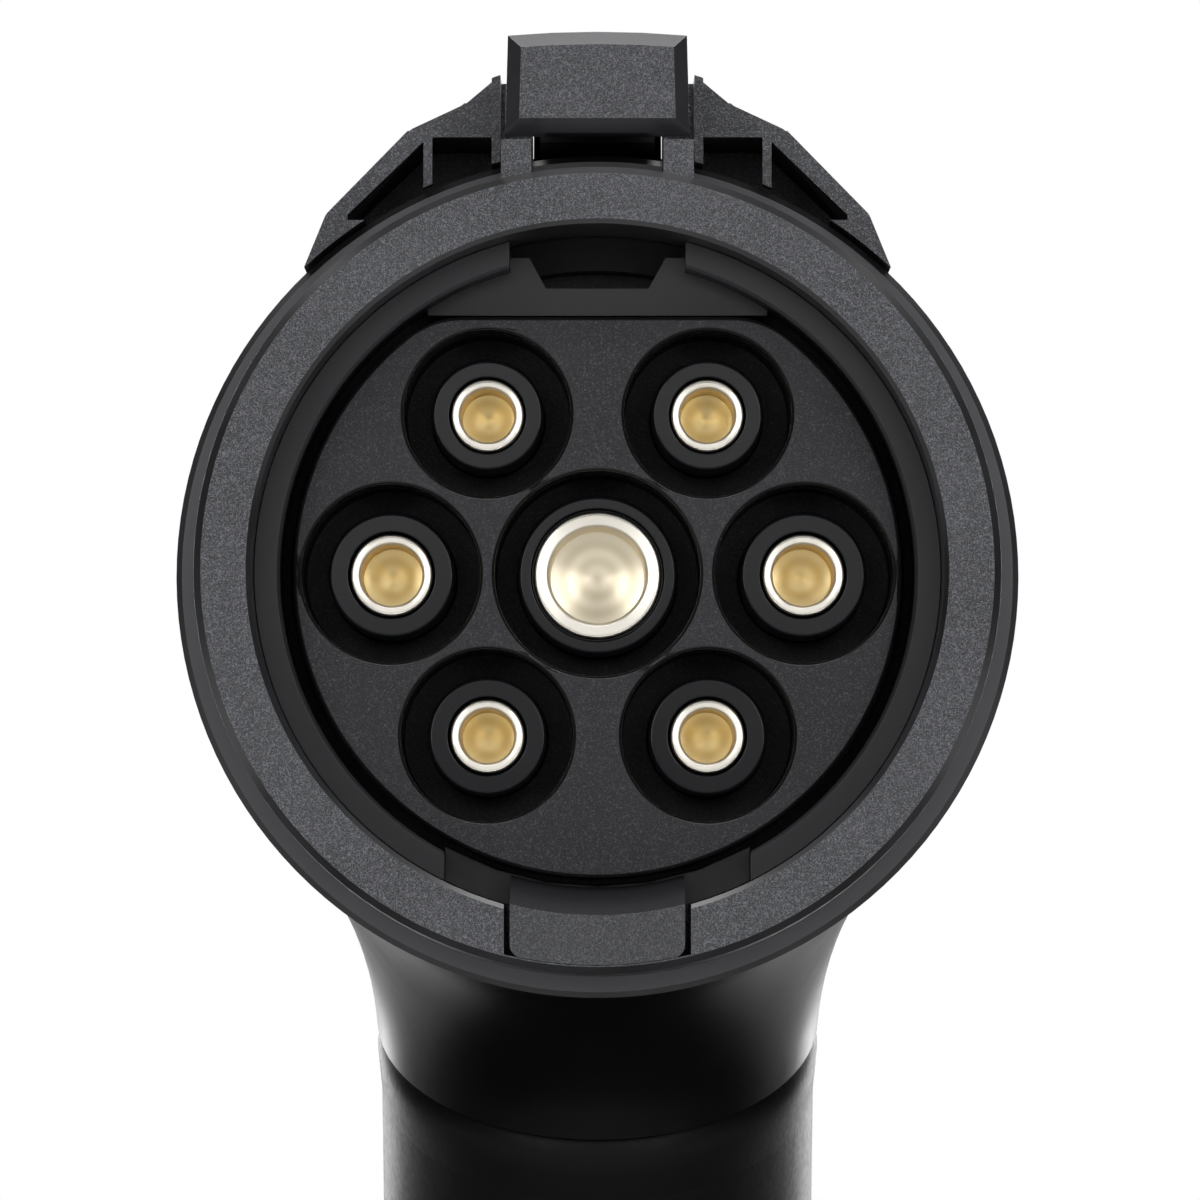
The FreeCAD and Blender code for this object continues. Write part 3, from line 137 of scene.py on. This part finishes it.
def grained_nylon(name, ground, ridge_glint, smooth, rough, grain_to_mm=100.0, blank="#404044", shine=0.5):
    """Grain on the faces that look forward, as far back as grain_to_mm, and a blank colour behind that."""
    material, tree, shader, place = new_material(name, IOR=1.53, Specular_IOR_Level=shine)
    facing = add_node(tree, "ShaderNodeSeparateXYZ", {"Vector": place.node.outputs["Normal"]})
    ahead = add_node(tree, "ShaderNodeMapRange", {"Value": facing.outputs["Y"], "From Min": SIDE_NORMAL,
                                                  "From Max": FRONT_NORMAL})
    spot = add_node(tree, "ShaderNodeSeparateXYZ", {"Vector": place})
    near = add_node(tree, "ShaderNodeMath", {0: spot.outputs["Y"], 1: grain_to_mm * MM},
                    operation="LESS_THAN")
    flat = add_node(tree, "ShaderNodeMath", {0: ahead.outputs[0], 1: near.outputs[0]}, operation="MULTIPLY")
    noise = add_node(tree, "ShaderNodeTexNoise", {"Vector": place, "Scale": per_mm(GRAIN_MM), "Detail": 1.0,
                                                  "Distortion": 0.6})
    middle = add_node(tree, "ShaderNodeMath", {0: noise.outputs["Fac"], 1: 0.5}, operation="SUBTRACT")
    away = add_node(tree, "ShaderNodeMath", {0: middle.outputs[0]}, operation="ABSOLUTE")
    worm = add_node(tree, "ShaderNodeMapRange", {"Value": away.outputs[0], "From Min": WORM_HALF_WIDTH,
                                                 "From Max": 0.0})
    drift = add_node(tree, "ShaderNodeTexNoise", {"Vector": place, "Scale": per_mm(DUST_PATCH_MM),
                                                  "Detail": 3.0})
    dust = add_node(tree, "ShaderNodeMapRange", {"Value": drift.outputs["Fac"], "From Min": 0.3,
                                                 "From Max": 0.7, "To Min": 0.0, "To Max": DUST_SHARE})
    # The ridges' colour is painted paler than the ground: a painted highlight for the glints on the grain.
    grained = mixed(tree, worm.outputs[0], linear(ground), linear(ridge_glint))
    # Forward faces behind the grain take the blank colour; on the shroud it is painted lighter, as painted
    # light.
    plain = mixed(tree, near.outputs[0], linear(blank), grained)
    # Faces that don't look forward take the smooth colour, which on the shroud and the core is painted darker
    # as painted shade.
    coloured = mixed(tree, ahead.outputs[0], linear(smooth), plain)
    tree.links.new(mixed(tree, dust.outputs[0], coloured, linear(ridge_glint)), shader.inputs["Base Color"])
    grain_gloss = add_node(tree, "ShaderNodeMapRange", {"Value": worm.outputs[0], "To Min": GROUND_ROUGH,
                                                        "To Max": RIDGE_ROUGH})
    deep = add_node(tree, "ShaderNodeMapRange", {"Value": spot.outputs["Y"], "From Min": POLISHED_TO_MM * MM,
                                                 "From Max": DULL_FROM_MM * MM, "To Min": rough,
                                                 "To Max": DULL_ROUGH})
    gloss = add_node(tree, "ShaderNodeMix", {0: flat.outputs[0], 2: deep.outputs[0],
                                             3: grain_gloss.outputs[0]})
    tree.links.new(gloss.outputs[0], shader.inputs["Roughness"])
    depth = add_node(tree, "ShaderNodeMath", {0: worm.outputs[0], 1: flat.outputs[0]}, operation="MULTIPLY")
    bump = add_node(tree, "ShaderNodeBump", {"Height": depth.outputs[0], "Strength": 0.6,
                                             "Distance": GRAIN_DEPTH_MM * MM})
    tree.links.new(bump.outputs[0], shader.inputs["Normal"])
    return material


# In each grained material the pale second colour is a painted highlight on the ridges of the grain.
nylon = grained_nylon("charcoal_nylon", "#1d1e22", "#6d6e74", "#2a2a2d", 0.22)
# The shroud's chamfers and walls are painted dark as painted shade, and its forward faces behind the grain
# are painted light.
shroud_nylon = grained_nylon("shroud_nylon", "#1d1e22", "#6d6e74", "#1a1a1b", 0.28, grain_to_mm=0.0)
key_nylon = grained_nylon("key_nylon", "#1a1b1e", "#58595e", "#37373b", 0.26)
# The core's side faces, the walls of its wells among them, are painted darker than its ground as painted
# shade.
core_pbt = grained_nylon("fine_grained_pbt_core", "#1b1b1e", "#454549", "#121213", 0.15, shine=0.3)
print("grained material:", nylon.name)

# %% [markdown]
# ## Satin moulded plastics
# The guide sleeve, the contacts' towers, the housing and its button are smooth mouldings. Real ones are never
# a mirror: the mould leaves a faint haze and slow changes of gloss. One recipe serves them all, with a fine
# noise for the haze and a broad one for the slow change, and each finish gets its own colours and roughness.

# %% Satin plastics
def satin_plastic(name, low, high, rough, haze_mm=0.25, haze_depth_mm=0.012, broad_mm=14.0, shine=0.4):
    """A smooth moulding with a fine haze and slow changes of colour and gloss."""
    material, tree, shader, place = new_material(name, IOR=1.55, Specular_IOR_Level=shine)
    broad = add_node(tree, "ShaderNodeTexNoise", {"Vector": place, "Scale": per_mm(broad_mm), "Detail": 2.0})
    fine = add_node(tree, "ShaderNodeTexNoise", {"Vector": place, "Scale": per_mm(haze_mm), "Detail": 3.0})
    tree.links.new(mixed(tree, broad.outputs["Fac"], linear(low), linear(high)), shader.inputs["Base Color"])
    gloss = add_node(tree, "ShaderNodeMapRange", {"Value": broad.outputs["Fac"], "From Min": 0.3,
                                                  "From Max": 0.7, "To Min": rough - 0.04,
                                                  "To Max": rough + 0.05})
    tree.links.new(gloss.outputs[0], shader.inputs["Roughness"])
    bump = add_node(tree, "ShaderNodeBump", {"Height": fine.outputs["Fac"], "Strength": 0.35,
                                             "Distance": haze_depth_mm * MM})
    tree.links.new(bump.outputs[0], shader.inputs["Normal"])
    return material


sleeve_pbt = satin_plastic("smooth_pbt_sleeve", "#29292b", "#303033", 0.32, shine=0.2)
tower_pbt = satin_plastic("glossy_pbt_tower", "#0f1013", "#141518", 0.2, haze_depth_mm=0.006, shine=0.2)
housing_abs = satin_plastic("satin_abs_housing", "#050506", "#080809", 0.34, haze_mm=0.5, haze_depth_mm=0.02,
                            shine=0.1)
button_abs = satin_plastic("satin_abs_button", "#2b2b2e", "#333337", 0.42)
board_resin = satin_plastic("green_resin_board", "#1f4630", "#2b5a3f", 0.32)
chip_body = satin_plastic("ceramic_chip", "#1b1b1c", "#242425", 0.5)
print("satin plastics:", len([m for m in bpy.data.materials if "satin" in m.name or "pbt" in m.name]))

# %% [markdown]
# ## Soft grip and seals
# The grip is a thermoplastic elastomer moulded over the handle. It has a dry, slightly powdery look: high
# roughness, a little sheen from its soft skin, and fine pebbles that keep a wet hand from slipping.

# %% Elastomers
def elastomer(name, low, high, pebble_mm, depth_mm, rough):
    """A dry soft skin with pebbles of the given width and depth."""
    material, tree, shader, place = new_material(name, IOR=1.5, Specular_IOR_Level=0.12, Sheen_Weight=0.02,
                                                 Sheen_Roughness=0.5)
    pebble = add_node(tree, "ShaderNodeTexVoronoi", {"Vector": place, "Scale": per_mm(pebble_mm)},
                      feature="SMOOTH_F1")
    broad = add_node(tree, "ShaderNodeTexNoise", {"Vector": place, "Scale": per_mm(20.0), "Detail": 2.0})
    tree.links.new(mixed(tree, broad.outputs["Fac"], linear(low), linear(high)), shader.inputs["Base Color"])
    gloss = add_node(tree, "ShaderNodeMapRange", {"Value": pebble.outputs["Distance"], "To Min": rough - 0.05,
                                                  "To Max": rough + 0.08})
    tree.links.new(gloss.outputs[0], shader.inputs["Roughness"])
    bump = add_node(tree, "ShaderNodeBump", {"Height": pebble.outputs["Distance"], "Strength": 0.4,
                                             "Distance": depth_mm * MM}, invert=True)
    tree.links.new(bump.outputs[0], shader.inputs["Normal"])
    return material


grip_tpe = elastomer("soft_grip_elastomer", "#060607", "#0b0b0c", 0.5, 0.03, 0.46)
seal_epdm = elastomer("black_rubber_seal", "#131314", "#1a1a1b", 0.8, 0.02, 0.6)
print("elastomers:", grip_tpe.name, seal_epdm.name)

# %% [markdown]
# ## Turned brass with a silver rim
# Each contact is turned from brass and plated with silver where the pin first touches it, at the rim. The
# bore's floor shows the lathe's rings, so its bump is a ring wave about the contact's own axis. The change
# from silver to brass follows the depth behind the mouth, a real place on the metal.

# %% Contacts
RING_MM = 0.22
PLATE_DEPTH_MM = 0.5
PLATE_FADE_MM = 0.3


def turned_brass(name, centre, floor_low, floor_high):
    """Brass turned about the contact's own axis, silver down to the plating's depth."""
    material, tree, shader, place = new_material(name, Metallic=1.0, Anisotropic=0.85,
                                                 Anisotropic_Rotation=0.25)
    around = add_node(tree, "ShaderNodeTangent", direction_type="RADIAL", axis="Y")
    tree.links.new(around.outputs[0], shader.inputs["Tangent"])
    local = add_node(tree, "ShaderNodeMapping", {"Vector": place, "Location": (-centre.x, 0.0, -centre.z)})
    split = add_node(tree, "ShaderNodeSeparateXYZ", {"Vector": local.outputs[0]})
    flat = add_node(tree, "ShaderNodeCombineXYZ", {"X": split.outputs["X"], "Y": split.outputs["Z"]})
    rings = add_node(tree, "ShaderNodeTexWave", {"Vector": flat.outputs[0], "Scale": per_mm(RING_MM) / 20,
                                                 "Distortion": 0.6, "Detail": 2.0},
                     wave_type="RINGS", rings_direction="Z")
    silver = add_node(tree, "ShaderNodeMapRange", {"Value": split.outputs["Y"],
                                                   "From Min": PLATE_DEPTH_MM * MM,
                                                   "From Max": (PLATE_DEPTH_MM + PLATE_FADE_MM) * MM,
                                                   "To Min": 1.0, "To Max": 0.0})
    warm = mixed(tree, rings.outputs["Fac"], linear(floor_low), linear(floor_high))
    tree.links.new(mixed(tree, silver.outputs[0], warm, linear("#f2ede2")), shader.inputs["Base Color"])
    gloss = add_node(tree, "ShaderNodeMapRange", {"Value": silver.outputs[0], "To Min": 0.36, "To Max": 0.34})
    tree.links.new(gloss.outputs[0], shader.inputs["Roughness"])
    bump = add_node(tree, "ShaderNodeBump", {"Height": rings.outputs["Fac"], "Strength": 0.25,
                                             "Distance": 0.01 * MM})
    tree.links.new(bump.outputs[0], shader.inputs["Normal"])
    return material


contact_metal = {}
for name in sorted(name for name in NODES if name.endswith("_contact")):
    low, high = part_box(name)
    pale = name.startswith("earth")
    contact_metal[name] = turned_brass("turned_" + name, (low + high) / 2,
                                       "#e0d6be" if pale else "#dcc288", "#f2e9d4" if pale else "#f0dca8")
print("contacts:", len(contact_metal))

# %% [markdown]
# ## Zinc-plated steel
# Screws and the spring are steel with a thin zinc coat: a cool grey metal with soft brush marks. The lever's
# pin is blackened instead, as pins that turn in plastic often are, and it disappears in the dark gap.

# %% Steel
def plated_steel(name, low="#8e9093", high="#b4b6b9"):
    """Steel with soft brush marks between two greys."""
    material, tree, shader, place = new_material(name, Metallic=1.0)
    marks = add_node(tree, "ShaderNodeTexNoise", {"Vector": place, "Scale": per_mm(0.4), "Detail": 4.0})
    tree.links.new(mixed(tree, marks.outputs["Fac"], linear(low), linear(high)), shader.inputs["Base Color"])
    gloss = add_node(tree, "ShaderNodeMapRange", {"Value": marks.outputs["Fac"], "To Min": 0.25,
                                                  "To Max": 0.45})
    tree.links.new(gloss.outputs[0], shader.inputs["Roughness"])
    return material


steel = plated_steel("zinc_plated_steel")
black_steel = plated_steel("black_oxide_steel", "#17171a", "#232326")
print("steel:", steel.name)

# %% [markdown]
# ## Dress the solids
# Every solid gets its finish. A moulding's edges are never knife-sharp, so a small bevel modifier rounds
# them: it catches the thin bright lines that outline each edge in a studio picture. The solids come as
# triangles with split corners, so a weld comes first. The key's front edge is blunter than the others, so its
# bevel starts at a smaller angle.

# %% Finishes and softened edges
FINISH = {
    "front_shroud": shroud_nylon, "key_block": key_nylon, "latch_guard": nylon, "latch_lever": nylon,
    "contact_core": core_pbt, "guide_sleeve": sleeve_pbt, "contact_plate": sleeve_pbt,
    "cable_clamp": sleeve_pbt, "cable_gland": sleeve_pbt, "gland_nut": button_abs,
    "upper_shell": housing_abs, "lower_shell": housing_abs, "release_button": button_abs,
    "latch_switch": sleeve_pbt, "switch_plunger": button_abs, "grip_sleeve": grip_tpe,
    "face_seal": seal_epdm, "housing_gasket": seal_epdm, "gland_seal": seal_epdm,
    "latch_pin": black_steel, "resistor_board": board_resin, "board_resistors": chip_body,
}
EDGE_MM = {
    "front_shroud": 0.12, "key_block": 0.13, "contact_core": 0.13, "guide_sleeve": 0.15,
    "latch_guard": 0.15, "latch_lever": 0.15, "release_button": 0.12, "gland_nut": 0.15,
}
CONTACT_EDGE_MM = 0.12
WELD_MM = 0.002
SHARP_DEGREES = 32
KEY_SHARP_DEGREES = 15


def finish_of(name):
    """The material of a node; what isn't listed is a contact, its tower or a steel fastener."""
    if name in FINISH:
        return FINISH[name]
    if name.endswith("_tower"):
        return tower_pbt
    if name.endswith("_contact"):
        return contact_metal[name]
    return steel


for name, item in NODES.items():
    mesh = item.data
    mesh.materials.clear()
    mesh.materials.append(finish_of(name))
    if "custom_normal" in mesh.attributes:
        mesh.attributes.remove(mesh.attributes["custom_normal"])
    mesh.shade_smooth()
    weld = item.modifiers.new("join corners", "WELD")
    weld.merge_threshold = WELD_MM * MM
    width = EDGE_MM.get(name, CONTACT_EDGE_MM if name.endswith(("_tower", "_contact")) else 0.0)
    if width:
        bevel = item.modifiers.new("soft edges", "BEVEL")
        bevel.width = width * MM
        bevel.segments = 2
        bevel.limit_method = "ANGLE"
        bevel.angle_limit = math.radians(KEY_SHARP_DEGREES if name == "key_block" else SHARP_DEGREES)
        bevel.harden_normals = True
    split = item.modifiers.new("crisp corners", "EDGE_SPLIT")
    split.split_angle = math.radians(SHARP_DEGREES)
print("dressed:", len(NODES))

# %% [markdown]
# ## Camera
# The picture looks straight into the mating face, from slightly below, through a long lens. The camera's
# distance and the width of what it sees at the face give the focal length.

# %% Camera
FACE_Y = -12.0 * MM
CAMERA_DISTANCE = 0.75
FIELD_MM = 92.4
LOOK_AT = Vector((0.2 * MM, FACE_Y, -2.35 * MM))
TILT = math.radians(-2.0)
SENSOR_MM = 36.0
camera_data = bpy.data.cameras.new("camera")
camera = bpy.data.objects.new("camera", camera_data)
bpy.context.scene.collection.objects.link(camera)
camera.location = LOOK_AT + CAMERA_DISTANCE * Vector((0, -math.cos(TILT), math.sin(TILT)))
camera.rotation_euler = (LOOK_AT - camera.location).to_track_quat("-Z", "Y").to_euler()
camera_data.sensor_width = SENSOR_MM
camera_data.lens = SENSOR_MM * CAMERA_DISTANCE / (FIELD_MM * MM)
bpy.context.scene.camera = camera
print("lens:", round(camera_data.lens, 1))

# %% [markdown]
# ## Light and ground
# Charcoal plastic shows its shape by the lamps that it reflects. Two strip panels beside the lens draw the
# bright lines along the edges, two small panels close to the lens light the bottoms of the contacts, two
# panels behind the part outline the rim, one panel above lights the hook, and a thin strip in front and above
# draws the fine lines along the lower edges. Black velvet flags around the lens keep the flat faces dark, and
# two more, above and below, darken what the rim's chamfer reflects.

# %% Lamps
def panel(name, place, target, width, height, watts):
    """An area lamp that faces a point and isn't seen itself."""
    data = bpy.data.lights.new(name, "AREA")
    data.shape = "RECTANGLE"
    data.size = width
    data.size_y = height
    data.energy = watts
    lamp = bpy.data.objects.new(name, data)
    bpy.context.scene.collection.objects.link(lamp)
    lamp.location = place
    lamp.rotation_euler = (Vector(target) - lamp.location).to_track_quat("-Z", "Y").to_euler()
    lamp.visible_camera = False


for side in (-1, 1):
    panel("side_panel", (side * 0.38, -0.7, 0.15), (0, 0, 0), 0.1, 0.5, 1.5)
    panel("rim_panel", (side * 0.42, 0.78, -0.05), (0, 0, -0.05), 0.2, 0.7, 5)
    panel("lens_panel", (side * 0.1, -0.74, 0.1), (0, 0, 0), 0.18, 0.18, 0.28)
panel("top_panel", (0, -0.06, 0.7), (0, 0, 0), 0.6, 0.14, 3.4)
panel("edge_panel", (0, -0.5, 0.6), (0, 0, 0), 0.5, 0.04, 0.9)
print("lamps:", len(bpy.data.lights))

# %% [markdown]
# ## White world
# The camera, the reflections and anything seen through the part meet a plain white. Everything else gets a
# weak grey light from all around, so that the shadows stay deep.

# %% World
WORLD_STRENGTH = 0.2
scene = bpy.context.scene
scene.view_settings.view_transform = "Standard"
world = bpy.data.worlds.new("studio")
scene.world = world
world.use_nodes = True
sky = world.node_tree
background = sky.nodes["Background"]
background.inputs["Color"].default_value = linear("#d8d8da")
background.inputs["Strength"].default_value = WORLD_STRENGTH
white = add_node(sky, "ShaderNodeBackground", {"Color": (1, 1, 1, 1), "Strength": 1.0})
rays = add_node(sky, "ShaderNodeLightPath")
seen = add_node(sky, "ShaderNodeMath", {0: rays.outputs["Is Camera Ray"], 1: rays.outputs["Is Glossy Ray"]},
                operation="MAXIMUM")
through = add_node(sky, "ShaderNodeMath", {0: seen.outputs[0], 1: rays.outputs["Is Transmission Ray"]},
                   operation="MAXIMUM")
blend = add_node(sky, "ShaderNodeMixShader", {0: through.outputs[0], 1: background.outputs[0],
                                              2: white.outputs[0]})
sky.links.new(blend.outputs[0], sky.nodes["World Output"].inputs["Surface"])
print("world:", world.name)

# %% [markdown]
# ## Floor and flags
# The floor and the flags are single faces, given by two opposite corners. The flags above and below are met
# by reflections alone, so they take no light from the floor.

# %% Floor and flags
FLOOR_Z = CAD_BOX[0][2] - 2 * MM
LOW_FLAG_Z = FLOOR_Z + 1 * MM


def sheet(name, first, last, material, seen=True, shading=True):
    """A rectangle, level when its corners have one height and upright otherwise."""
    (x0, y0, z0), (x1, y1, z1) = first, last
    if z0 == z1:
        corners = [(x0, y0, z0), (x1, y0, z0), (x1, y1, z0), (x0, y1, z0)]
    else:
        corners = [(x0, y0, z0), (x1, y1, z0), (x1, y1, z1), (x0, y0, z1)]
    mesh = bpy.data.meshes.new(name)
    mesh.from_pydata(corners, [], [(0, 1, 2, 3)])
    mesh.materials.append(material)
    item = bpy.data.objects.new(name, mesh)
    scene.collection.objects.link(item)
    item.visible_camera = seen
    item.visible_shadow = shading
    item.visible_diffuse = shading


paper = plain_material("matt_white_paper", "#ececec", 0.9)
sheet("floor", (-1.5, -1.5, FLOOR_Z), (1.5, 1.5, FLOOR_Z), paper)
velvet = plain_material("black_velvet", "#1c1c1d", 1.0)
sheet("front_flag", (-1.1, -1.2, -0.9), (1.1, -1.2, 1.1), velvet, seen=False)
sheet("left_flag", (-1.1, -1.2, -0.9), (-1.1, 0.9, 1.1), velvet, seen=False)
sheet("right_flag", (1.1, -1.2, -0.9), (1.1, 0.9, 1.1), velvet, seen=False)
sheet("upper_flag", (-0.6, 0.1, 0.8), (0.6, 0.7, 0.8), velvet, seen=False, shading=False)
sheet("lower_flag", (-0.25, 0.0, LOW_FLAG_Z), (0.25, 0.16, LOW_FLAG_Z), velvet, seen=False, shading=False)
print("floor at", round(FLOOR_Z, 4))
